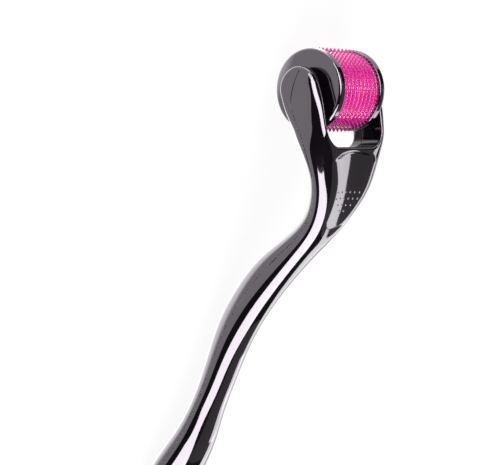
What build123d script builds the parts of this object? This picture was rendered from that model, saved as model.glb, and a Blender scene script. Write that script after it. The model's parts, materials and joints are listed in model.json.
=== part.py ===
from build123d import *
from math import asin, atan2, cos, degrees, pi, radians, sin, sqrt
import os

# Derma roller: a needle drum spinning on a steel pin between the two arms of a forked handle.
# Row frame in mm: +X runs from the drum to the tail, +Z is up, Y is the drum's axis.
# The roller lies on its needles and its tail, with the finger rest on top.

# --- overall ---
LENGTH = 150.0                  # from the needle tips to the end of the tail
NEEDLE_R = 11.25                # tip of the needles
DRUM_X = NEEDLE_R - LENGTH / 2  # drum axis, so that the whole length is centred on the origin
DRUM_Z = NEEDLE_R               # the needles touch the rest plane

# --- drum ---
DRUM_W = 20.0                   # over the two end caps
CAP_R = 11.0
CAP_T = 2.4
CAP_EDGE = 0.35                 # inner rim
CAP_RIM = 1.0                   # outer rim
BOSS_R = 2.3                    # collar that keeps the cap off the arm
BOSS_T = 1.8
HUB_AF = 8.0                    # hexagon across flats
HUB_SOCKET = 1.6                # depth of the hexagonal socket in each cap
KEY_GAP = 0.04                  # per side, between the hexagon and what slides on it
DISC_COUNT = 9
DISC_T = 0.2
DISC_PITCH = 1.7
NEEDLES = 60
ROOT_R = 9.4
NEEDLE_BASE = 0.6               # width of a needle at the root circle
RING_R = 10.25
RING_EDGE = 0.2

# --- axle ---
PIN_R = 1.0
PIN_HALF = 13.8
RUN_GAP = 0.05                  # radial running clearance of the drum on the pin
SEAT_GAP = 0.02                 # radial clearance of the pin in its seats

# --- fork ---
GAP_HALF = 12.0                 # inner faces of the arms
GAP_DEPTH = 15.5                # from the axle to the bottom of the fork
GAP_CORNER = 5.0
FORK_ANGLE = 26.65              # the fork's depth direction above the rest plane
END_STEPS = (0.35, 0.6, 0.8, 0.93, 0.99)          # where a rounded end's sections lie, as shares of its length
LOBE_R = 6.0
LOBE_SLOPE = 42.0               # direction of the arms at the axle, above the rest plane
LOBE_CROWN = 1.2                # how far the outer faces draw in at the tips of the lobes

# --- handle: x from the axle, z, half thickness, half width, squareness ---
STATIONS = [
    (0.0, DRUM_Z, LOBE_R, 15.25, 2.0),
    (4.2, 15.4, 5.65, 15.50, 2.0),
    (7.8, 18.5, 5.00, 15.60, 2.0),
    (12.2, 21.55, 4.75, 15.10, 2.0),
    (16.3, 23.4, 4.75, 13.70, 2.1),
    (21.0, 24.9, 4.50, 11.80, 2.2),
    (26.4, 25.2, 4.10, 9.60, 2.25),
    (33.2, 24.1, 3.70, 7.40, 2.3),
    (42.2, 20.2, 4.05, 6.10, 2.3),
    (52.8, 14.9, 5.25, 5.75, 2.2),
    (63.8, 11.2, 5.50, 5.70, 2.2),
    (73.6, 9.4, 5.25, 5.60, 2.2),
    (82.8, 9.1, 4.60, 5.60, 2.2),
    (91.7, 9.2, 4.15, 5.60, 2.2),
    (100.6, 9.1, 4.00, 6.10, 2.2),
    (109.8, 8.6, 4.65, 7.40, 2.2),
    (119.2, 7.0, 5.20, 9.00, 2.2),
    (125.6, 5.9, 5.10, 9.70, 2.2),
]
# rounding of the front and the back edges at the tip of the lobes and at the first stations: depth, width, depth, width
TIP_EDGES = (1.0, 0.9, 1.4, 1.4)
EDGES = [
    (2.2, 2.3, 1.4, 1.4), (3.85, 2.8, 1.85, 1.85), (6.0, 3.0, 2.8, 2.8), (5.8, 5.4, 3.3, 5.4), (5.1, 9.8, 4.1, 9.7),
]
TAIL_SLOPE = -10.2              # degrees
TAIL_CAP = (LENGTH - NEEDLE_R - STATIONS[-1][0]) / cos(radians(TAIL_SLOPE))    # length of the rounded end
CORNER_STEPS = (7.5, 22.5, 37.5, 52.5, 67.5, 82.5)      # degrees, the points of a rounded corner

# --- parting line of the two shells: x from the axle, z ---
PARTING = [(-9.0, 10.1), (-3.8, 10.2), (0.0, 10.4), (3.8, 11.4), (7.5, 14.9), (11.4, 19.3), (16.3, 22.6)]
PARTING_JOINS = 6               # first station whose middle the parting line follows
PARTING_GAP = 0.03

# --- finger rest: a valley in the front of the neck, as (station, depth, radius) ---
VALLEY = [(3, 1.5, 30.0), (4, 1.5, 30.0), (5, 1.4, 29.0), (6, 1.0, 21.0), (7, 0.1, 14.0), (8, -2.0, 12.0)]
VALLEY_HALF = 11.0              # half width of the cutting section
VALLEY_TOP = 17.6               # from the axle, along the fork: the bridge ends here

# --- shells ---
WALL = 2.0
CAVITY_STATIONS = slice(5, 18)  # the stations that bound the cavity
PEGS = (48.0, 84.0, 118.0)      # x of the locating pegs, from the axle
PEG_R = 0.9
PEG_RISE = 1.0                  # how far a peg stands above the parting line
PEG_GAP = 0.05
PEG_WALL = 0.8


def at(x, z):
    """A point of the middle plane, x from the axle."""
    return (DRUM_X + x, 0, z)


def outline(a, b, n, edges):
    """Points of a closed section, a high and b wide from its middle, with its edges rounded."""
    front_deep, front_wide, back_deep, back_wide = edges
    half = []
    for deep, wide, side in ((front_deep, front_wide, 1), (back_deep, back_wide, -1)):
        corner = []
        for turn in CORNER_STEPS:
            c, s = cos(radians(turn)) ** (2 / n), sin(radians(turn)) ** (2 / n)
            corner.append((b - wide + wide * c, side * (a - deep + deep * s)))
        half.append(corner)
    front, back = half
    left = [(-y, u) for y, u in front[::-1]], [(-y, u) for y, u in back]
    middle = (back_deep - front_deep) / 2
    return [(b, middle), *front, (0, a), *left[0], (-b, middle), *left[1], (0, -a), *back[::-1]]


def rounded_end(row, slope, length, crown):
    """Sections beyond row that close the handle with a rounded end, nearest first."""
    x, z, a, b, n, edges = row
    rows = []
    for share in END_STEPS:
        size = sqrt(1 - share ** 2)
        run = length * share
        if crown is None:
            width, near = b * size, tuple(edge * size for edge in edges)
        else:
            width = b - crown * (1 - size)
            near = tuple(edge + (tip - edge) * share for edge, tip in zip(edges, TIP_EDGES))
            near = tuple(min(edge, 0.9 * a * size) for edge in near)
        rows.append((x + run * cos(radians(slope)), z + run * sin(radians(slope)), a * size, width, n, near))
    return rows


def handle_stations():
    """All stations from the tips of the lobes to the end of the tail, each with its slope in degrees."""
    rows = []
    for i, (x, z, a, b, n) in enumerate(STATIONS):
        rows.append((x, z, a, b, n, EDGES[i] if i < len(EDGES) else (a, b, a, b)))
    lobe = [(*row, LOBE_SLOPE) for row in rounded_end(rows[0], LOBE_SLOPE, -LOBE_R, LOBE_CROWN)]
    tail = [(*row, TAIL_SLOPE) for row in rounded_end(rows[-1], TAIL_SLOPE, TAIL_CAP, None)]
    slopes = [LOBE_SLOPE]
    for before, after in zip(rows, rows[2:]):
        slopes.append(degrees(atan2(after[1] - before[1], after[0] - before[0])))
    slopes.append(TAIL_SLOPE)
    return lobe[::-1] + [(*row, slope) for row, slope in zip(rows, slopes)] + tail


def section(row, inset=0.0):
    x, z, a, b, n, edges, slope = row
    tangent = (cos(radians(slope)), 0, sin(radians(slope)))
    plane = Plane(origin=at(x, z), x_dir=(0, 1, 0), z_dir=tangent)
    inner = tuple(edge - inset for edge in edges)
    return plane * make_face(Spline(*outline(a - inset, b - inset, n, inner), periodic=True))


def fork_plane():
    """Origin on the axle, x along Y, y along the fork's depth."""
    depth = (cos(radians(FORK_ANGLE)), 0, sin(radians(FORK_ANGLE)))
    up = Vector(-depth[2], 0, depth[0])
    return Plane(origin=(DRUM_X, 0, DRUM_Z), x_dir=(0, -1, 0), z_dir=up)


def fork_gap():
    reach = 40.0
    middle = GAP_DEPTH / 2 - reach / 2
    shape = RectangleRounded(2 * GAP_HALF, GAP_DEPTH + reach, GAP_CORNER)
    return extrude(fork_plane() * Pos(0, middle) * shape, amount=reach, both=True)


def valley():
    """The space that the finger rest leaves open, from the bridge to its tip."""
    rows = handle_stations()
    sections = []
    for index, depth, radius in VALLEY:
        x, z, a, b, n, edges, slope = rows[len(END_STEPS) + index]
        tangent = (cos(radians(slope)), 0, sin(radians(slope)))
        plane = Plane(origin=at(x, z), x_dir=(0, 1, 0), z_dir=tangent)
        low = a - depth
        side = low + VALLEY_HALF ** 2 / (2 * radius)
        top = a + VALLEY_HALF
        left, right = (-VALLEY_HALF, side), (VALLEY_HALF, side)
        bowl = ThreePointArc(left, (0, low), right)
        walls = Polyline(right, (VALLEY_HALF, top), (-VALLEY_HALF, top), left)
        sections.append(plane * make_face(bowl + walls))
    reach = 60.0
    beyond = extrude(fork_plane() * Pos(0, VALLEY_TOP + reach / 2) * Rectangle(reach, reach), amount=reach, both=True)
    return loft(sections) & beyond


def parting_region(gap):
    """Everything above the parting line, lifted by gap."""
    line = PARTING + [(row[0], row[1]) for row in STATIONS[PARTING_JOINS:]]
    last = line[-1]
    line.append((last[0] + 25, last[1] + 25 * sin(radians(TAIL_SLOPE)) / cos(radians(TAIL_SLOPE))))
    curve = Spline(*[at(x, z + gap) for x, z in line])
    start, end = curve @ 0, curve @ 1
    top = 60.0
    sides = Polyline(end, (end.X, 0, top), (start.X, 0, top), start)
    return extrude(make_face(curve + sides), amount=30, both=True)


def handle_body():
    outer = loft([section(row) for row in handle_stations()])
    return outer - fork_gap() - valley()


def inner_body(inset):
    """The slim part of the handle, drawn in by inset."""
    rows = handle_stations()[len(END_STEPS):][CAVITY_STATIONS]
    return loft([section(row, inset) for row in rows])


def cylinder_y(radius, half_length):
    return Pos(DRUM_X, 0, DRUM_Z) * Rot(90, 0, 0) * Cylinder(radius, 2 * half_length)


def posts(radius):
    """Upright cylinders at the locating pegs, longer than the handle is high."""
    height = 40.0
    return [Pos(DRUM_X + x, 0, height / 2) * Cylinder(radius, height) for x in PEGS]


def shells():
    above = parting_region(PARTING_GAP / 2)
    not_below = parting_region(-PARTING_GAP / 2)
    hollow = handle_body() - inner_body(WALL) - cylinder_y(PIN_R + SEAT_GAP, PIN_HALF + SEAT_GAP)
    core = inner_body(WALL / 2)
    front = (hollow & above) + [post & core & above for post in posts(PEG_R + PEG_GAP + PEG_WALL)]
    front = front - [post & core - parting_region(PEG_RISE + PEG_GAP) for post in posts(PEG_R + PEG_GAP)]
    back = (hollow - not_below) + [post & core - parting_region(PEG_RISE) for post in posts(PEG_R)]
    return front, back


def hexagon(across_flats):
    return RegularPolygon(across_flats / 2, 6, major_radius=False)


def drum_plane(y):
    """Sketch plane across the drum's axis at y, facing +Y."""
    return Plane(origin=(DRUM_X, y, DRUM_Z), x_dir=(1, 0, 0), z_dir=(0, 1, 0))


def needle_disc(y):
    outline = []
    step = 2 * pi / NEEDLES
    half_base = asin(NEEDLE_BASE / 2 / ROOT_R)
    for i in range(NEEDLES):
        for turn, radius in ((-half_base, ROOT_R), (0, NEEDLE_R), (half_base, ROOT_R)):
            angle = i * step + turn - pi / 2
            outline.append((radius * cos(angle), radius * sin(angle)))
    shape = make_face(Polyline(*outline, close=True)) - hexagon(HUB_AF + 2 * KEY_GAP)
    return extrude(drum_plane(y - DISC_T / 2) * shape, amount=DISC_T)


def spacer_ring(low, high):
    shape = Circle(RING_R) - hexagon(HUB_AF + 2 * KEY_GAP)
    ring = extrude(drum_plane(low) * shape, amount=high - low)
    rims = [e for e in ring.edges().filter_by(GeomType.CIRCLE) if abs(e.radius - RING_R) < 0.01]
    return chamfer(rims, RING_EDGE)


def drum_hub():
    half = DRUM_W / 2 - CAP_T + HUB_SOCKET
    bar = extrude(drum_plane(-half) * hexagon(HUB_AF), amount=2 * half)
    return bar - cylinder_y(PIN_R + RUN_GAP, half + 1)


def end_cap(side):
    """side is -1 for the left cap and 1 for the right one."""
    inner = DRUM_W / 2 - CAP_T
    disc = extrude(drum_plane(inner) * Circle(CAP_R), amount=CAP_T)
    disc = fillet(disc.edges().filter_by(GeomType.CIRCLE).sort_by(Axis.Y)[0], CAP_EDGE)
    disc = fillet(disc.edges().filter_by(GeomType.CIRCLE).sort_by(Axis.Y)[-1], CAP_RIM)
    boss = extrude(drum_plane(DRUM_W / 2) * Circle(BOSS_R), amount=BOSS_T)
    socket = extrude(drum_plane(inner) * hexagon(HUB_AF + 2 * KEY_GAP), amount=HUB_SOCKET)
    cap = disc + boss - socket - cylinder_y(PIN_R + RUN_GAP, DRUM_W)
    return cap if side > 0 else mirror(cap, Plane.XZ)


def drum_stack():
    """Discs and the rings between them, by name."""
    nodes = {}
    first = -DISC_PITCH * (DISC_COUNT - 1) / 2
    edge = DRUM_W / 2 - CAP_T
    low = -edge
    for i in range(DISC_COUNT):
        y = first + i * DISC_PITCH
        nodes[f"spacer_ring_{i + 1}"] = spacer_ring(low, y - DISC_T / 2)
        nodes[f"needle_disc_{i + 1}"] = needle_disc(y)
        low = y + DISC_T / 2
    nodes[f"spacer_ring_{DISC_COUNT + 1}"] = spacer_ring(low, edge)
    return nodes


def build_nodes():
    nodes = drum_stack()
    nodes["front_shell"], nodes["back_shell"] = shells()
    nodes["axle_pin"] = cylinder_y(PIN_R, PIN_HALF)
    nodes["drum_hub"] = drum_hub()
    nodes["end_cap_left"] = end_cap(-1)
    nodes["end_cap_right"] = end_cap(1)
    return nodes


os.makedirs("parts", exist_ok=True)
for name, shape in build_nodes().items():
    export_step(shape, f"parts/{name}.step")
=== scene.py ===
import json
import math

import bpy
import numpy as np
from mathutils import Matrix, Vector


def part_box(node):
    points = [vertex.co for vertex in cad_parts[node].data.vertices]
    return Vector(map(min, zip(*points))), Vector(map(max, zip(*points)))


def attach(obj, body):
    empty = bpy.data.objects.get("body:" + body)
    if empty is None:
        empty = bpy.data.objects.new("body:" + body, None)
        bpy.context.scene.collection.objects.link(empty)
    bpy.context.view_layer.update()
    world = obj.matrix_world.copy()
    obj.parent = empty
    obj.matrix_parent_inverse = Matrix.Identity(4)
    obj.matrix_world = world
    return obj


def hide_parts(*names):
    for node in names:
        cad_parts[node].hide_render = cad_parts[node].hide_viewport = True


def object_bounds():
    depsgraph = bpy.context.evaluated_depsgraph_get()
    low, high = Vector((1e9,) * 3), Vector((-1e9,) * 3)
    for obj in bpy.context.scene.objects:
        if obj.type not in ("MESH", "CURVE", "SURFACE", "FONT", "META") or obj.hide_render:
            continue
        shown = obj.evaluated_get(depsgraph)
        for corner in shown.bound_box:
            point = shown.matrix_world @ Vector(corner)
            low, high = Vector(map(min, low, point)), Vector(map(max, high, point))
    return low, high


# Derma roller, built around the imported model. Lengths in the tables are millimetres, x and z from the axle.
# Handle coordinates: s along the middle line, y across, and w up from the parting line of the two shells.

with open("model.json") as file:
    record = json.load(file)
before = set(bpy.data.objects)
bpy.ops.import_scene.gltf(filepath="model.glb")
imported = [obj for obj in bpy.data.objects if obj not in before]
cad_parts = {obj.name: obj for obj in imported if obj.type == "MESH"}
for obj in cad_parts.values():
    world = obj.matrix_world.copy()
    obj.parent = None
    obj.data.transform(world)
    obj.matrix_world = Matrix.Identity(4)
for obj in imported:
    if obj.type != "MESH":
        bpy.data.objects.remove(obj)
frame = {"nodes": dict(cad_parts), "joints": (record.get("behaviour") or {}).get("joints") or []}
cad_low, cad_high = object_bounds()
AXLE = Vector(frame["joints"][0]["pos_m"])
MM = 0.001

# --- handle: x, z, half thickness, half width, squareness ---
STATIONS = np.array([
    (0.0, 0.0, 5.97, 15.20, 2.0),
    (4.2, 4.15, 5.65, 15.45, 2.0),
    (7.8, 7.25, 5.00, 15.55, 2.0),
    (12.2, 10.3, 4.75, 15.10, 2.0),
    (16.3, 12.15, 4.75, 13.70, 2.1),
    (21.0, 13.65, 4.50, 11.80, 2.2),
    (26.4, 13.95, 4.10, 9.60, 2.25),
    (33.2, 12.85, 3.70, 7.40, 2.4),
    (42.2, 8.95, 4.02, 6.02, 2.55),
    (52.8, 3.65, 5.15, 5.65, 2.5),
    (63.8, -0.05, 5.45, 5.65, 2.3),
    (73.6, -1.85, 5.25, 5.60, 2.2),
    (82.8, -2.15, 4.60, 5.60, 2.2),
    (91.7, -2.05, 4.15, 5.60, 2.2),
    (100.6, -2.15, 4.00, 6.10, 2.2),
    (109.8, -2.65, 4.65, 7.40, 2.2),
    (119.2, -4.25, 5.20, 9.00, 2.2),
    (125.6, -5.35, 5.10, 9.70, 2.2),
])
LOBE_SLOPE = math.radians(42.0)
TAIL_SLOPE = math.radians(-10.2)
LOBE_R = 6.0
LOBE_CROWN, CROWN_END = 0.35, 9.0       # the lobes' outer faces fall away towards their rims, up to this s
# rounding of the front edges: s, depth, width
FRONT_EDGE = (
    (-6, 1.0, 0.9),
    (-3, 1.7, 1.7),
    (0, 2.2, 2.3),
    (3, 2.7, 2.6),
    (6, 3.9, 2.8),
    (10.5, 6.0, 3.0),
    (14, 6.2, 4.0),
    (18, 5.4, 6.5),
)
BACK_EDGE, BACK_GROWTH, BACK_FROM, BACK_TO = 1.4, 1.6, 2.0, 13.0     # rounding behind, and how it grows
FRONT_SQUARE, BACK_SQUARE, OVAL_START = 15.0, 12.0, 26.0     # where the arms' section turns into an oval
OVAL_OVERLAP = 2.0
LOBE_BACK, LOBE_FRONT = -2.0, 1.5       # heights where a lobe's rim has the back and the front rounding

# --- fork ---
FORK_ANGLE = math.radians(26.65)
GAP_HALF, GAP_DEPTH, GAP_CORNER = 12.0, 15.5, 5.0
GAP_EDGE_FRONT, GAP_EDGE_BACK, BRIDGE_EDGE = 0.4, 0.5, 0.8
GAP_EDGE_TURN = 2.0             # half the height over which back edges turn into front ones
BRIDGE_MARGIN = 1.0             # the bridge's own edge ends this far before the arms
PIN_R, PIN_HALF, PIN_EDGE = 1.02, 13.82, 0.1

# --- finger rest: station, depth, radius across ---
VALLEY = ((3, 1.5, 30.0), (4, 1.5, 30.0), (5, 1.4, 29.0), (6, 1.0, 21.0), (7, 0.1, 14.0), (8, -2.0, 12.0))
VALLEY_END_SLOPE = -0.2         # of the depth along s
LIP_DEPTH = 16.9                # from the axle, along the fork: the bridge ends here
LIP_ARCH = 1.5 / 7.5 ** 2       # the lip is 1.5 deeper 7.5 from its middle
LIP_EDGE, LIP_FOOT = 1.0, 0.7

# --- parting line: x, z ---
PARTING = (
    (-9.0, -1.15),
    (-3.8, -1.05),
    (0.0, -0.85),
    (3.8, 0.15),
    (7.5, 3.65),
    (11.4, 8.05),
    (16.3, 11.35),
)
PARTING_JOINS = 6               # first station whose middle the parting line follows
PARTING_START_SLOPE = -0.8      # of its height along s
PARTING_FROM, PARTING_TRIES = -12, 4000         # start and steps of the search for these points' s
PARTING_GAP, PARTING_EDGE = 0.1, 0.07           # between the shells, and the rounding of its edges


# ---------------------------------------------------------------- curves of the handle

def smooth_curve(knots, values, first, last):
    """A curve through rows of values at the knots, with the given slopes at its two ends."""
    values = np.asarray(values, float)
    count = len(knots)
    step = np.diff(knots)
    matrix = np.eye(count)
    right = np.zeros(values.shape)
    right[0], right[-1] = first, last
    for i in range(1, count - 1):
        before, after = step[i - 1], step[i]
        matrix[i, i - 1:i + 2] = 1 / before, 2 / before + 2 / after, 1 / after
        rise, next_rise = values[i] - values[i - 1], values[i + 1] - values[i]
        right[i] = 3 * (rise / before ** 2 + next_rise / after ** 2)
    slopes = np.linalg.solve(matrix, right)

    def evaluate(s):
        """The curve's values at s."""
        i = np.clip(np.searchsorted(knots, s) - 1, 0, count - 2)
        h = step[i]
        t = (s - knots[i]) / h
        if values.ndim > 1:
            h, t = h[..., None], t[..., None]
        blend = t * t * (3 - 2 * t)
        ends = values[i] * (1 - blend) + values[i + 1] * blend
        return ends + h * (t * (1 - t) ** 2 * slopes[i] - t * t * (1 - t) * slopes[i + 1])
    return evaluate


def station_slopes():
    """Slope of the middle line at each station, in radians."""
    x, z = STATIONS[:, 0], STATIONS[:, 1]
    middle = np.arctan2(z[2:] - z[:-2], x[2:] - x[:-2])
    return np.concatenate([[LOBE_SLOPE], middle, [TAIL_SLOPE]])


KNOTS = np.concatenate([[0], np.cumsum(np.hypot(np.diff(STATIONS[:, 0]), np.diff(STATIONS[:, 1])))])
S_END = KNOTS[-1]
TAIL_ROOM = 0.06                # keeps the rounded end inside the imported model
TAIL_CAP = ((cad_high.x - AXLE.x) / MM - TAIL_ROOM - STATIONS[-1, 0]) / math.cos(TAIL_SLOPE)
SHAPE = smooth_curve(
    KNOTS,
    np.column_stack([STATIONS, station_slopes()]),
    [math.cos(LOBE_SLOPE), math.sin(LOBE_SLOPE), 0, 0, 0, 0],
    [math.cos(TAIL_SLOPE), math.sin(TAIL_SLOPE), 0, 0, 0, 0],
)


def middle_line(s):
    """x, z, half thickness, half width, squareness and slope at s."""
    inside = np.clip(s, 0, S_END)
    x, z, a, b, n, slope = np.moveaxis(SHAPE(inside), -1, 0)
    return x + (s - inside) * np.cos(slope), z + (s - inside) * np.sin(slope), a, b, n, slope


def parting_knots():
    """The parting line's points as s and height above the middle line."""
    s = np.linspace(PARTING_FROM, KNOTS[PARTING_JOINS], PARTING_TRIES)
    x, z, _, _, _, slope = middle_line(s)
    found = []
    for px, pz in PARTING:
        ahead = (px - x) * np.cos(slope) + (pz - z) * np.sin(slope)
        i = np.argmin(np.abs(ahead))
        found.append((s[i], (pz - z[i]) * np.cos(slope[i]) - (px - x[i]) * np.sin(slope[i])))
    ahead = [(k, 0.0) for k in KNOTS[PARTING_JOINS:]]
    return np.array(found + ahead)


PARTING_SU = parting_knots()
PARTING_CURVE = smooth_curve(PARTING_SU[:, 0], PARTING_SU[:, 1], PARTING_START_SLOPE, 0.0)
VALLEY_CURVE = smooth_curve(
    KNOTS[[row[0] for row in VALLEY]],
    [(depth, 1 / radius) for _, depth, radius in VALLEY],
    [0, 0],
    [VALLEY_END_SLOPE, 0],
)
FRONT_CURVE = smooth_curve(
    np.array([row[0] for row in FRONT_EDGE]), [row[1:] for row in FRONT_EDGE], [0, 0], [0, 0]
)


def parting_height(s):
    """Height of the parting line above the middle line."""
    return PARTING_CURVE(np.clip(s, PARTING_SU[0, 0], S_END))


# ---------------------------------------------------------------- solid of the handle

LEAST_SLOPE = 0.05              # keeps a division away from nothing


def smooth_max(a, b, radius):
    """The larger of two distances; the edge where they meet is rounded."""
    corner = np.hypot(np.maximum(radius + a, 0), np.maximum(radius + b, 0))
    return np.minimum(-radius, np.maximum(a, b)) + corner


def ramp(low, high, value):
    """Rises smoothly from 0 at low to 1 at high."""
    t = np.clip((value - low) / (high - low), 0, 1)
    return t * t * (3 - 2 * t)


def place(s, y, w):
    """x and z of a point, from the axle."""
    x, z, _, _, _, slope = middle_line(s)
    u = w + parting_height(s)
    return x - u * np.sin(slope), z + u * np.cos(slope)


def corner_level(past_top, past_side, deep, wide, n):
    """Distance to an edge rounded deep and wide, from how far a point lies past the two faces."""
    top, side = 1 + past_top / deep, 1 + past_side / wide
    high, out = np.maximum(top, 1e-3), np.maximum(side, 1e-3)
    reach = (high ** n + out ** n) ** (1 / n)
    level = reach + np.minimum(0, np.maximum(top, side)) - 1
    return level / np.hypot((high / reach) ** (n - 1) / deep, (out / reach) ** (n - 1) / wide)


def arm_section(rho, y, s, u, a, b, n):
    """Distance to the section of the arms and the neck, with its own rounding in front and behind."""
    lobe = s < 0
    crown = LOBE_CROWN * (1 - ramp(0, CROWN_END, s))
    past_side = np.abs(y) - b + crown * (rho / a) ** 2
    deep, wide = np.moveaxis(FRONT_CURVE(np.clip(s, FRONT_EDGE[0][0], FRONT_EDGE[-1][0])), -1, 0)
    back = BACK_EDGE + BACK_GROWTH * ramp(BACK_FROM, BACK_TO, s)
    oval, back_oval = ramp(FRONT_SQUARE, OVAL_START, s), ramp(BACK_SQUARE, OVAL_START, s)
    deep, wide = deep + (a - deep) * oval, wide + (b - wide) * oval
    back_deep, back_wide = back + (a - back) * back_oval, back + (b - back) * back_oval
    share = np.where(lobe, ramp(LOBE_BACK, LOBE_FRONT, u), 1)
    deep, wide = back_deep + (deep - back_deep) * share, back_wide + (wide - back_wide) * share
    front = corner_level(np.where(lobe, rho, u) - a, past_side, deep, wide, n)
    behind = corner_level(-u - a, past_side, back_deep, back_wide, n)
    return np.where(lobe, front, np.maximum(front, behind))


def handle_section(rho, y, s, a, b, n):
    """Distance to the handle's oval section, closed by a rounded end at the tail."""
    past = np.maximum(s - S_END, 0) / TAIL_CAP
    across, along = rho / a, np.abs(y) / b
    level = np.maximum(across ** n + along ** n, 1e-4) ** (1 / n)
    size = np.hypot(level, past)
    rate = level ** (2 - n) / size
    steep = np.hypot(rate * across ** (n - 1) / a, rate * along ** (n - 1) / b)
    return (size - 1) / np.maximum(np.hypot(steep, past / TAIL_CAP / size), LEAST_SLOPE)


def fork_gap(y, depth):
    """Distance to the gap between the arms."""
    side = np.abs(y) - (GAP_HALF - GAP_CORNER)
    down = depth - (GAP_DEPTH - GAP_CORNER)
    outside = np.hypot(np.maximum(side, 0), np.maximum(down, 0))
    return outside + np.minimum(np.maximum(side, down), 0) - GAP_CORNER


def finger_valley(s, u, y, depth, a):
    """Distance to the space above the finger rest."""
    sink, curve = np.moveaxis(VALLEY_CURVE(np.clip(s, KNOTS[VALLEY[0][0]], KNOTS[VALLEY[-1][0]])), -1, 0)
    floor = a - sink + y ** 2 * curve / 2
    lip = LIP_DEPTH + LIP_ARCH * y ** 2
    return smooth_max(floor - u, lip - depth, LIP_FOOT)


def handle_field(s, y, w):
    """Signed distance, nearly, to the surface of the whole handle. It is negative inside."""
    x, z, a, b, n, slope = middle_line(s)
    u = w + parting_height(s)
    rho = np.hypot(u, np.minimum(s, 0))
    arms, handle = arm_section(rho, y, s, u, a, b, n), handle_section(rho, y, s, a, b, n)
    solid = np.where(s < OVAL_START + OVAL_OVERLAP, arms, handle)
    px, pz = x - u * np.sin(slope), z + u * np.cos(slope)
    depth = px * math.cos(FORK_ANGLE) + pz * math.sin(FORK_ANGLE)
    bridge = 1 - ramp(GAP_HALF - GAP_CORNER, GAP_HALF - BRIDGE_MARGIN, np.abs(y))
    in_front = ramp(-GAP_EDGE_TURN, GAP_EDGE_TURN, u)
    gap_edge = GAP_EDGE_BACK + (GAP_EDGE_FRONT - GAP_EDGE_BACK) * in_front
    gap_edge = gap_edge + (BRIDGE_EDGE - gap_edge) * bridge * in_front
    solid = smooth_max(solid, -fork_gap(y, depth), gap_edge)
    solid = smooth_max(solid, -finger_valley(s, u, y, depth, a), LIP_EDGE)
    hole = np.maximum(np.hypot(px, pz) - PIN_R, np.abs(y) - PIN_HALF)
    return smooth_max(solid, -hole, PIN_EDGE)


def shell_field(side):
    """side is 1 for the front shell, above the parting line, and -1 for the back shell."""
    return lambda s, y, w: smooth_max(handle_field(s, y, w), PARTING_GAP / 2 - side * w, PARTING_EDGE)


# ---------------------------------------------------------------- surface of a field

def growing(start, end, first, most, growth):
    """Grid lines from start to end, whose spacing grows from first to most."""
    lines = [start]
    while lines[-1] < end:
        lines.append(lines[-1] + first)
        first = min(first * growth, most)
    return np.array(lines)


def net_of(values):
    """Surface net of a grid of signed distances: the corners in grid indices, and quads facing outwards."""
    cells = tuple(n - 1 for n in values.shape)
    total = np.zeros(cells + (3,))
    count = np.zeros(cells, int)
    inside = values < 0
    index = np.indices(values.shape)
    edges = []
    for axis in range(3):
        others = [(axis + 1) % 3, (axis + 2) % 3]
        near = [slice(None)] * 3
        far = [slice(None)] * 3
        near[axis], far[axis] = slice(None, -1), slice(1, None)
        near, far = tuple(near), tuple(far)
        crossing = inside[near] != inside[far]
        drop = np.where(crossing, values[near] - values[far], 1)
        spot = [index[k][near].astype(float) for k in range(3)]
        spot[axis] = spot[axis] + np.where(crossing, values[near] / drop, 0)
        spot = np.stack(spot, -1)
        for first in (0, 1):
            for second in (0, 1):
                part = [slice(None)] * 3
                part[others[0]] = slice(first, cells[others[0]] + first)
                part[others[1]] = slice(second, cells[others[1]] + second)
                part = tuple(part)
                total += np.where(crossing[part][..., None], spot[part], 0)
                count += crossing[part]
        edges.append((crossing, inside[near], others))
    active = count > 0
    number = np.cumsum(active).reshape(cells) - 1
    corners = total[active] / count[active][:, None]
    quads = []
    for crossing, rising, others in edges:
        spots = np.argwhere(crossing)
        fits = np.ones(len(spots), bool)
        for other in others:
            fits &= (spots[:, other] > 0) & (spots[:, other] < values.shape[other] - 1)
        spots = spots[fits]
        ring = []
        for first, second in ((1, 1), (0, 1), (0, 0), (1, 0)):
            cell = spots.copy()
            cell[:, others[0]] -= first
            cell[:, others[1]] -= second
            ring.append(number[tuple(cell.T)])
        ring = np.stack(ring, 1)
        outwards = rising[tuple(spots.T)]
        ring[~outwards] = ring[~outwards][:, ::-1]
        quads.append(ring)
    return corners, np.concatenate(quads)


TINY = 0.004                    # step for slopes, mm


def slopes_of(field, q):
    """Value and slopes of a field at points q."""
    rates = []
    for k in range(3):
        shift = np.zeros(3)
        shift[k] = TINY
        rates.append((field(*(q + shift).T) - field(*(q - shift).T)) / (2 * TINY))
    return field(*q.T), np.stack(rates, -1)


def world_directions(q, rates):
    """Normals in the row frame, from the slopes along s, y and w."""
    s, y, w = q.T
    along = [(p - m) / (2 * TINY) for p, m in zip(place(s + TINY, y, w), place(s - TINY, y, w))]
    up = [(p - m) / (2 * TINY) for p, m in zip(place(s, y, w + TINY), place(s, y, w - TINY))]
    scale = along[0] * up[1] - along[1] * up[0]
    nx = (rates[:, 0] * up[1] - rates[:, 2] * along[1]) / scale
    nz = (rates[:, 2] * along[0] - rates[:, 0] * up[0]) / scale
    normals = np.stack([nx, rates[:, 1], nz], -1)
    return normals / np.linalg.norm(normals, axis=1)[:, None]


def make_mesh(name, points, faces, normals=None):
    """A mesh object from points in mm from the axle."""
    mesh = bpy.data.meshes.new(name)
    mesh.from_pydata((np.asarray(points) * MM + np.array(AXLE)).tolist(), [], [list(f) for f in faces])
    mesh.validate()
    mesh.polygons.foreach_set("use_smooth", np.ones(len(mesh.polygons), bool))
    if normals is not None:
        mesh.normals_split_custom_set_from_vertices(normals.tolist())
    piece = bpy.data.objects.new(name, mesh)
    bpy.context.scene.collection.objects.link(piece)
    return piece


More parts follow.
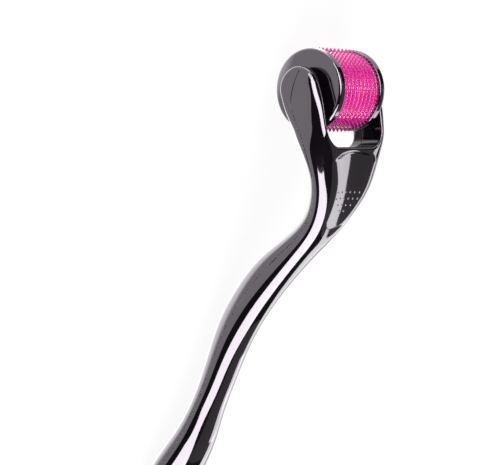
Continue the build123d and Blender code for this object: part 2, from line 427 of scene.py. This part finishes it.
# grid spacing at the parting line, on the head and along the handle, and how it grows between them
SEAM_STEP, HEAD_STEP, HANDLE_STEP = 0.045, 0.26, 0.55
SEAM_GROWTH, HANDLE_GROWTH = 1.1, 1.04
HEAD_END = 7                    # station where the head's spacing starts to grow
SHELL_HEIGHT = 15.5             # no point of a shell is farther above or below the parting line
FRONT_MARGIN, SIDE_MARGIN, SEAM_MARGIN, TAIL_MARGIN = 0.5, 0.6, 0.2, 1.0
SETTLE_STEPS, LONGEST_MOVE = 5, 0.15


def shell(name, side):
    """One shell of the handle as a fine mesh, whose points settle on the field's surface."""
    field = shell_field(side)
    head = np.arange(-LOBE_R - FRONT_MARGIN, KNOTS[HEAD_END], HEAD_STEP)
    tail = S_END + TAIL_CAP + TAIL_MARGIN
    handle = growing(head[-1] + HEAD_STEP, tail, HEAD_STEP, HANDLE_STEP, HANDLE_GROWTH)
    s_lines = np.concatenate([head, handle])
    half = STATIONS[0, 3] + SIDE_MARGIN
    y_lines = np.linspace(-half, half, 2 * round(half / HEAD_STEP) + 2)
    w_lines = side * growing(-SEAM_MARGIN, SHELL_HEIGHT, SEAM_STEP, HEAD_STEP, SEAM_GROWTH)
    if side < 0:
        w_lines = w_lines[::-1]
    lines = (s_lines, y_lines, w_lines)
    values = field(*np.meshgrid(*lines, indexing="ij"))
    corners, quads = net_of(values)
    q = np.stack([np.interp(corners[:, k], np.arange(len(lines[k])), lines[k]) for k in range(3)], -1)
    for _ in range(SETTLE_STEPS):
        value, rates = slopes_of(field, q)
        move = value[:, None] * rates / np.maximum((rates ** 2).sum(1), LEAST_SLOPE)[:, None]
        q = q - np.clip(move, -LONGEST_MOVE, LONGEST_MOVE)
    rates = slopes_of(field, q)[1]
    x, z = place(*q.T)
    return make_mesh(name, np.stack([x, q[:, 1], z], -1), quads, world_directions(q, rates))


# ---------------------------------------------------------------- camera, floor and light

CAMERA_TARGET = (-16.29, 0.0, 2.18)     # mm
CAMERA_AZIMUTH, CAMERA_ELEVATION, CAMERA_ROLL = -112.531, 34.175, 123.0
CAMERA_DISTANCE, CAMERA_LENS = 0.52014, 134.135         # m, and mm


def direction(azimuth, elevation):
    """The unit vector at an azimuth and an elevation in radians."""
    flat = math.cos(elevation)
    return Vector((flat * math.cos(azimuth), flat * math.sin(azimuth), math.sin(elevation)))


def aim(item, right, back, distance, target=Vector()):
    """Puts a camera or a light at a distance from its target, looking against back."""
    matrix = Matrix((right, back.cross(right), back)).transposed().to_4x4()
    matrix.translation = target + back * distance
    item.matrix_world = matrix
    bpy.context.scene.collection.objects.link(item)


def make_camera():
    """The view of the photograph."""
    data = bpy.data.cameras.new("camera")
    data.sensor_width = 36
    data.lens = CAMERA_LENS
    data.clip_start, data.clip_end = 0.01, 20
    camera = bpy.data.objects.new("camera", data)
    back = direction(math.radians(CAMERA_AZIMUTH), math.radians(CAMERA_ELEVATION))
    level = Vector((0, 0, 1)).cross(back).normalized()
    roll = math.radians(CAMERA_ROLL)
    right = level * math.cos(roll) + back.cross(level) * math.sin(roll)
    aim(camera, right, back, CAMERA_DISTANCE, Vector(CAMERA_TARGET) * MM)
    bpy.context.scene.camera = camera


def node_tree(owner):
    """The empty node tree of a material or a world."""
    owner.use_nodes = True
    tree = owner.node_tree
    tree.nodes.clear()
    return tree


FLOOR_HALF = 6.0                        # m
FLOOR_GREY = 0.04
FLOOR_GLOW, FLOOR_UNDER = 0.93, 3.0     # plain, and a painted glow in a strip under the roller that only reflections show
UNDER_MIDDLE, UNDER_NEAR, UNDER_FAR = -2.0, 8.0, 13.0     # y of the strip's middle, and its half widths, mm
WORLD_DARK = 0.012


def make_floor():
    """A plain pale floor to the camera, with a painted glow under the roller in what the roller reflects."""
    half = FLOOR_HALF
    mesh = bpy.data.meshes.new("floor")
    corners = [(-half, -half, 0), (half, -half, 0), (half, half, 0), (-half, half, 0)]
    mesh.from_pydata(corners, [], [(0, 1, 2, 3)])
    floor = bpy.data.objects.new("floor", mesh)
    bpy.context.scene.collection.objects.link(floor)
    material = bpy.data.materials.new("floor_white")
    tree = node_tree(material)
    shader = tree.nodes.new("ShaderNodeBsdfPrincipled")
    shader.inputs["Base Color"].default_value = (FLOOR_GREY, FLOOR_GREY, FLOOR_GREY, 1)
    shader.inputs["Roughness"].default_value = 0.9
    shader.inputs["Specular IOR Level"].default_value = 0.0
    shader.inputs["Emission Color"].default_value = (1, 0.995, 1, 1)
    where = tree.nodes.new("ShaderNodeTexCoord")
    split = tree.nodes.new("ShaderNodeSeparateXYZ")
    shift = tree.nodes.new("ShaderNodeMath")
    shift.operation = "SUBTRACT"
    shift.inputs[1].default_value = UNDER_MIDDLE * MM
    aside = tree.nodes.new("ShaderNodeMath")
    aside.operation = "ABSOLUTE"
    tree.links.new(where.outputs["Object"], split.inputs[0])
    tree.links.new(split.outputs["Y"], shift.inputs[0])
    tree.links.new(shift.outputs[0], aside.inputs[0])
    near, far = UNDER_NEAR * MM, UNDER_FAR * MM
    glow = number_between(tree, aside.outputs[0], FLOOR_UNDER, FLOOR_GLOW, near, far)
    seen = tree.nodes.new("ShaderNodeLightPath")
    plain = tree.nodes.new("ShaderNodeMix")
    plain.inputs["B"].default_value = FLOOR_GLOW
    tree.links.new(seen.outputs["Is Camera Ray"], plain.inputs["Factor"])
    tree.links.new(glow, plain.inputs["A"])
    tree.links.new(plain.outputs["Result"], shader.inputs["Emission Strength"])
    out = tree.nodes.new("ShaderNodeOutputMaterial")
    tree.links.new(shader.outputs[0], out.inputs["Surface"])
    mesh.materials.append(material)


def make_world():
    """White behind the roller, and dark walls in its reflections."""
    world = bpy.data.worlds.new("studio")
    bpy.context.scene.world = world
    tree = node_tree(world)
    seen = tree.nodes.new("ShaderNodeLightPath")
    white = tree.nodes.new("ShaderNodeBackground")
    white.inputs["Color"].default_value = (1, 0.995, 1, 1)
    dark = tree.nodes.new("ShaderNodeBackground")
    dark.inputs["Color"].default_value = (1, 0.95, 1, 1)
    dark.inputs["Strength"].default_value = WORLD_DARK
    mix = tree.nodes.new("ShaderNodeMixShader")
    out = tree.nodes.new("ShaderNodeOutputWorld")
    tree.links.new(seen.outputs["Is Camera Ray"], mix.inputs[0])
    tree.links.new(dark.outputs[0], mix.inputs[1])
    tree.links.new(white.outputs[0], mix.inputs[2])
    tree.links.new(mix.outputs[0], out.inputs["Surface"])


LIGHT_DISTANCE = 1.2                    # m
# name, tilt from overhead towards +X and towards +Y, turn, length and width in degrees, radiance
SOFTBOXES = (
    ("handle_light", 46.3, -7.6, 38, 74, 45, 7.0),
    ("arm_light", -42, -20, 35, 48, 36, 7.2),
    ("bank_light", 5.5, 66, 0, 46, 16, 3.0),
    ("low_light", 49, 72, 0, 27, 25, 3.0),
    ("line_light", -45, 40, 0, 26, 4, 6.0),
    ("bridge_light", 74, 36, 0, 20, 26, 7.0),
    ("rim_light", -76, -28, 20, 24, 34, 4.5),
    ("fill_light", 5, 41, 0, 64, 46, 0.15),
)


def softbox(name, tilt_x, tilt_y, turn, span_x, span_y, glow):
    """A rectangular light that faces the roller from the given direction."""
    zenith, azimuth = math.radians(math.hypot(tilt_x, tilt_y)), math.atan2(tilt_y, tilt_x)
    flat, back = direction(azimuth, 0), direction(azimuth, math.pi / 2 - zenith)
    outwards = (flat - back * flat.dot(back)).normalized()
    around = back.cross(outwards)
    way = math.radians(turn) - azimuth
    side = outwards * math.cos(way) + around * math.sin(way)
    data = bpy.data.lights.new(name, "AREA")
    data.shape = "RECTANGLE"
    data.size = 2 * LIGHT_DISTANCE * math.tan(math.radians(span_x / 2))
    data.size_y = 2 * LIGHT_DISTANCE * math.tan(math.radians(span_y / 2))
    data.energy = glow * math.pi * data.size * data.size_y
    lamp = bpy.data.objects.new(name, data)
    lamp.visible_camera = False
    aim(lamp, side, back, LIGHT_DISTANCE)


# ---------------------------------------------------------------- materials

BLACK_IOR, HUB_IOR = 2.15, 1.5          # 2.15 is above real plastic: it gives the photograph's bright greys
PINK_IOR = 1.5
BLACKS = (0.0022, 0.0016, 0.0024), (0.0034, 0.0026, 0.0038)
PINKS = (0.42, 0.008, 0.17), (0.52, 0.014, 0.22)
BLACK_ROUGH, PINK_ROUGH = (0.045, 0.075), (0.16, 0.24)
NEEDLE_PAINTED_PINK_LIGHT = (0.60, 0.07, 0.32)        # painted pink light on the steel needles, from the rings around them: the drum is pink all over in the photograph, needles too
PIN_GREY = (0.55, 0.55, 0.57)
# noise: scale, detail
BLACK_CLOUD, BLACK_FINE, BLACK_WAVES = (90, 3), (900, 4), (140, 2)
PINK_CLOUD, PINK_FINE = (400, 3), (1500, 3)
STEEL_CLOUD, STEEL_FINE = (700, 3), (2500, 2)


def new_material(name):
    """A material with one shader."""
    material = bpy.data.materials.new(name)
    tree = node_tree(material)
    shader = tree.nodes.new("ShaderNodeBsdfPrincipled")
    out = tree.nodes.new("ShaderNodeOutputMaterial")
    tree.links.new(shader.outputs[0], out.inputs["Surface"])
    return material, tree, shader


def noise(tree, scale, detail):
    """Noise over a piece's own coordinates."""
    where = tree.nodes.new("ShaderNodeTexCoord")
    made = tree.nodes.new("ShaderNodeTexNoise")
    made.inputs["Scale"].default_value = scale
    made.inputs["Detail"].default_value = detail
    tree.links.new(where.outputs["Object"], made.inputs["Vector"])
    return made.outputs["Fac"]


def colour_between(tree, value, first, second, low=0.3, high=0.7):
    """A colour that goes from first to second as the value goes from low to high."""
    made = tree.nodes.new("ShaderNodeValToRGB")
    made.color_ramp.elements[0].position, made.color_ramp.elements[1].position = low, high
    made.color_ramp.elements[0].color = (*first, 1)
    made.color_ramp.elements[1].color = (*second, 1)
    tree.links.new(value, made.inputs["Fac"])
    return made.outputs["Color"]


def number_between(tree, value, first, second, low=0.3, high=0.7):
    """A number that goes from first to second as the value goes from low to high."""
    made = tree.nodes.new("ShaderNodeMapRange")
    made.inputs["From Min"].default_value, made.inputs["From Max"].default_value = low, high
    made.inputs["To Min"].default_value, made.inputs["To Max"].default_value = first, second
    tree.links.new(value, made.inputs["Value"])
    return made.outputs["Result"]


def bump(tree, shader, value, strength, distance):
    """Makes a surface slightly uneven in its shading."""
    made = tree.nodes.new("ShaderNodeBump")
    made.inputs["Strength"].default_value = strength
    made.inputs["Distance"].default_value = distance
    tree.links.new(value, made.inputs["Height"])
    tree.links.new(made.outputs["Normal"], shader.inputs["Normal"])


def glossy_black(name, ior):
    """Polished black plastic with a faint violet tone."""
    material, tree, shader = new_material(name)
    black = colour_between(tree, noise(tree, *BLACK_CLOUD), *BLACKS)
    tree.links.new(black, shader.inputs["Base Color"])
    rough = number_between(tree, noise(tree, *BLACK_FINE), *BLACK_ROUGH)
    tree.links.new(rough, shader.inputs["Roughness"])
    shader.inputs["IOR"].default_value = ior
    shader.inputs["Specular Tint"].default_value = (0.98, 0.89, 1.0, 1)
    bump(tree, shader, noise(tree, *BLACK_WAVES), 0.02, 0.0002)
    return material


def pink_plastic():
    """Glossy pink plastic that lets some light through."""
    material, tree, shader = new_material("translucent_pink")
    pink = colour_between(tree, noise(tree, *PINK_CLOUD), *PINKS)
    tree.links.new(pink, shader.inputs["Base Color"])
    rough = number_between(tree, noise(tree, *PINK_FINE), *PINK_ROUGH)
    tree.links.new(rough, shader.inputs["Roughness"])
    shader.inputs["IOR"].default_value = PINK_IOR
    shader.inputs["Subsurface Weight"].default_value = 0.4
    shader.inputs["Subsurface Radius"].default_value = (1.0, 0.15, 0.5)
    shader.inputs["Subsurface Scale"].default_value = 0.001
    shader.inputs["Coat Weight"].default_value = 0.6
    shader.inputs["Coat Roughness"].default_value = 0.05
    return material


def steel(name, colour, rough, metallic=1.0):
    """A fine metal surface, slightly cloudy."""
    material, tree, shader = new_material(name)
    darker = tuple(0.8 * part for part in colour)
    cloudy = colour_between(tree, noise(tree, *STEEL_CLOUD), darker, colour)
    tree.links.new(cloudy, shader.inputs["Base Color"])
    uneven = number_between(tree, noise(tree, *STEEL_FINE), rough, rough * 1.5)
    tree.links.new(uneven, shader.inputs["Roughness"])
    shader.inputs["Metallic"].default_value = metallic
    return material


def paint(piece, material):
    """Gives a piece this one material."""
    piece.data.materials.clear()
    piece.data.materials.append(material)


# ---------------------------------------------------------------- drum

CIRCLE_STEPS = 180
SHARP_ANGLE = math.radians(40)
CAP_THICK, CAP_BORE, COLLAR_R = 2.4, 1.05, 2.3
CAP_EDGE, CAP_RIM, COLLAR_EDGE = 0.35, 0.85, 0.15       # rounding: next to the drum, outside, collar
RING_BORE, RING_CROWN, CROWN_POWER, CROWN_STEPS = 4.2, 0.22, 2.4, 8
FLAT_LEAD = 0.03                # keeps the shading flat up to a rounded corner


def lathe(name, outline):
    """Turns a closed outline of (radius, y) in mm about the drum's axis."""
    points, faces = [], []
    count = len(outline)
    for k in range(CIRCLE_STEPS):
        turn = 2 * math.pi * k / CIRCLE_STEPS
        for radius, y in outline:
            points.append((radius * math.cos(turn), y, radius * math.sin(turn)))
    for k in range(CIRCLE_STEPS):
        here, there = k * count, (k + 1) % CIRCLE_STEPS * count
        for i in range(count):
            j = (i + 1) % count
            faces.append((here + i, here + j, there + j, there + i))
    piece = make_mesh(name, points, faces)
    piece.data.set_sharp_from_angle(angle=SHARP_ANGLE)
    return piece


def rounded(corner, before, after, radius, steps=5):
    """Points of a rounded corner on the way from before to after, with a short flat lead each side."""
    corner, before, after = (np.array(p, float) for p in (corner, before, after))
    one = (before - corner) / np.linalg.norm(before - corner)
    two = (after - corner) / np.linalg.norm(after - corner)
    centre = corner + radius * (one + two)
    arc = []
    for k in range(steps + 1):
        turn = math.pi / 2 * k / steps
        arc.append(centre - radius * (two * math.cos(turn) + one * math.sin(turn)))
    arc = [arc[0] + FLAT_LEAD * one, *arc, arc[-1] + FLAT_LEAD * two]
    return [tuple(p) for p in arc]


def drum_piece_size(name):
    """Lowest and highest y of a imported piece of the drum, and its radius, in mm."""
    low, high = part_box(name)
    return low.y / MM, high.y / MM, (high.x - AXLE.x) / MM


def end_cap(name, side, material):
    """A thick glossy disc with a collar towards the arm."""
    low, high, radius = drum_piece_size(name)
    inner, tip = (low, high) if side > 0 else (high, low)
    face = inner + side * CAP_THICK
    outline = [(CAP_BORE, inner)]
    outline += rounded((radius, inner), (0, inner), (radius, face), CAP_EDGE)
    outline += rounded((radius, face), (radius, inner), (0, face), CAP_RIM, 9)
    outline += [(COLLAR_R, face)]
    outline += rounded((COLLAR_R, tip), (COLLAR_R, face), (0, tip), COLLAR_EDGE, 3)
    outline += [(CAP_BORE, tip)]
    if side < 0:
        outline.reverse()
    finish_piece(lathe(name + "_visual", outline), "drum", "cap_plastic", material, name)


def ring(name, material):
    """A pink ring with a crowned rim."""
    low, high, radius = drum_piece_size(name)
    outline = [(RING_BORE, low)]
    for k in range(CROWN_STEPS + 1):
        drop = RING_CROWN * abs(2 * k / CROWN_STEPS - 1) ** CROWN_POWER
        outline.append((radius - drop, low + (high - low) * k / CROWN_STEPS))
    outline.append((RING_BORE, high))
    finish_piece(lathe(name + "_visual", outline), "drum", "ring_plastic", material, name)


def finish_piece(piece, body, slot, material, *nodes):
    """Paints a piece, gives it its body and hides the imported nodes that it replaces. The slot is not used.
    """
    paint(piece, material)
    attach(piece, body)
    if nodes:
        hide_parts(*nodes)


def make_drum():
    """New caps and rings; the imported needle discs, pin and hub keep their meshes."""
    cap_black = glossy_black("cap_black", BLACK_IOR)
    end_cap("end_cap_left", -1, cap_black)
    end_cap("end_cap_right", 1, cap_black)
    pink = pink_plastic()
    # the needles' pink is painted pink light from the rings, not the colour of steel
    needle = steel("needle_steel", NEEDLE_PAINTED_PINK_LIGHT, 0.3, 0.3)
    for name, node in frame["nodes"].items():
        if name.startswith("spacer_ring"):
            ring(name, pink)
        if name.startswith("needle_disc"):
            paint(node, needle)
    paint(frame["nodes"]["axle_pin"], steel("pin_steel", PIN_GREY, 0.25))
    paint(frame["nodes"]["drum_hub"], glossy_black("hub_black", HUB_IOR))


# ---------------------------------------------------------------- raised dots on the finger rest

DOT_ROWS = ((27.0, 6), (28.6, 6), (30.3, 4), (31.9, 2))     # s, count
DOT_PITCH, DOT_R, DOT_HEIGHT, DOT_ROOT = 1.87, 0.36, 0.2, 0.1
DOT_SIDES, DOT_RINGS = 14, 4
DOT_SEARCH, DOT_HALVINGS = 6.0, 30      # height above the parting line in which a dot's foot is searched


def on_top(s, y):
    """A point of the handle's upper surface and its normal."""
    low, high = 0.0, DOT_SEARCH
    for _ in range(DOT_HALVINGS):
        middle = (low + high) / 2
        inside = handle_field(np.array([s]), np.array([y]), np.array([middle]))[0] < 0
        low, high = (middle, high) if inside else (low, middle)
    q = np.array([[s, y, low]])
    x, z = place(*q.T)
    return np.array([x[0], y, z[0]]), world_directions(q, slopes_of(handle_field, q)[1])[0]


def make_dots(material):
    """Small domes in rows that narrow towards the handle, to keep the finger from slipping."""
    around, rings = DOT_SIDES, DOT_RINGS
    points, faces = [], []
    for s, count in DOT_ROWS:
        for k in range(count):
            foot, up = on_top(s, (k - (count - 1) / 2) * DOT_PITCH)
            side = np.cross(up, (0, 1, 0))
            side /= np.linalg.norm(side)
            across = np.cross(up, side)
            start = len(points)
            for i in range(rings + 1):
                rise = math.pi / 2 * i / rings
                reach, height = DOT_R * math.cos(rise), (DOT_HEIGHT + DOT_ROOT) * math.sin(rise) - DOT_ROOT
                for j in range(around if i < rings else 1):
                    turn = 2 * math.pi * j / around
                    way = math.cos(turn) * side + math.sin(turn) * across
                    points.append(foot + reach * way + height * up)
            for i in range(rings):
                for j in range(around):
                    here, there = start + i * around + j, start + i * around + (j + 1) % around
                    if i < rings - 1:
                        faces.append((here, here + around, there + around, there))
                    else:
                        faces.append((here, start + rings * around, there))
            faces.append(tuple(start + j for j in range(around)))
    dots = make_mesh("finger_rest_dots", points, faces)
    finish_piece(dots, "handle", "handle_plastic", material)


# ---------------------------------------------------------------- the model

make_camera()
make_floor()
make_world()
for row in SOFTBOXES:
    softbox(*row)

handle_black = glossy_black("handle_black", BLACK_IOR)
for name, side in (("front_shell", 1), ("back_shell", -1)):
    made = shell(name + "_visual", side)
    finish_piece(made, "handle", "handle_plastic", handle_black, name)
make_dots(handle_black)
make_drum()

bpy.context.scene.view_settings.view_transform = "Standard"
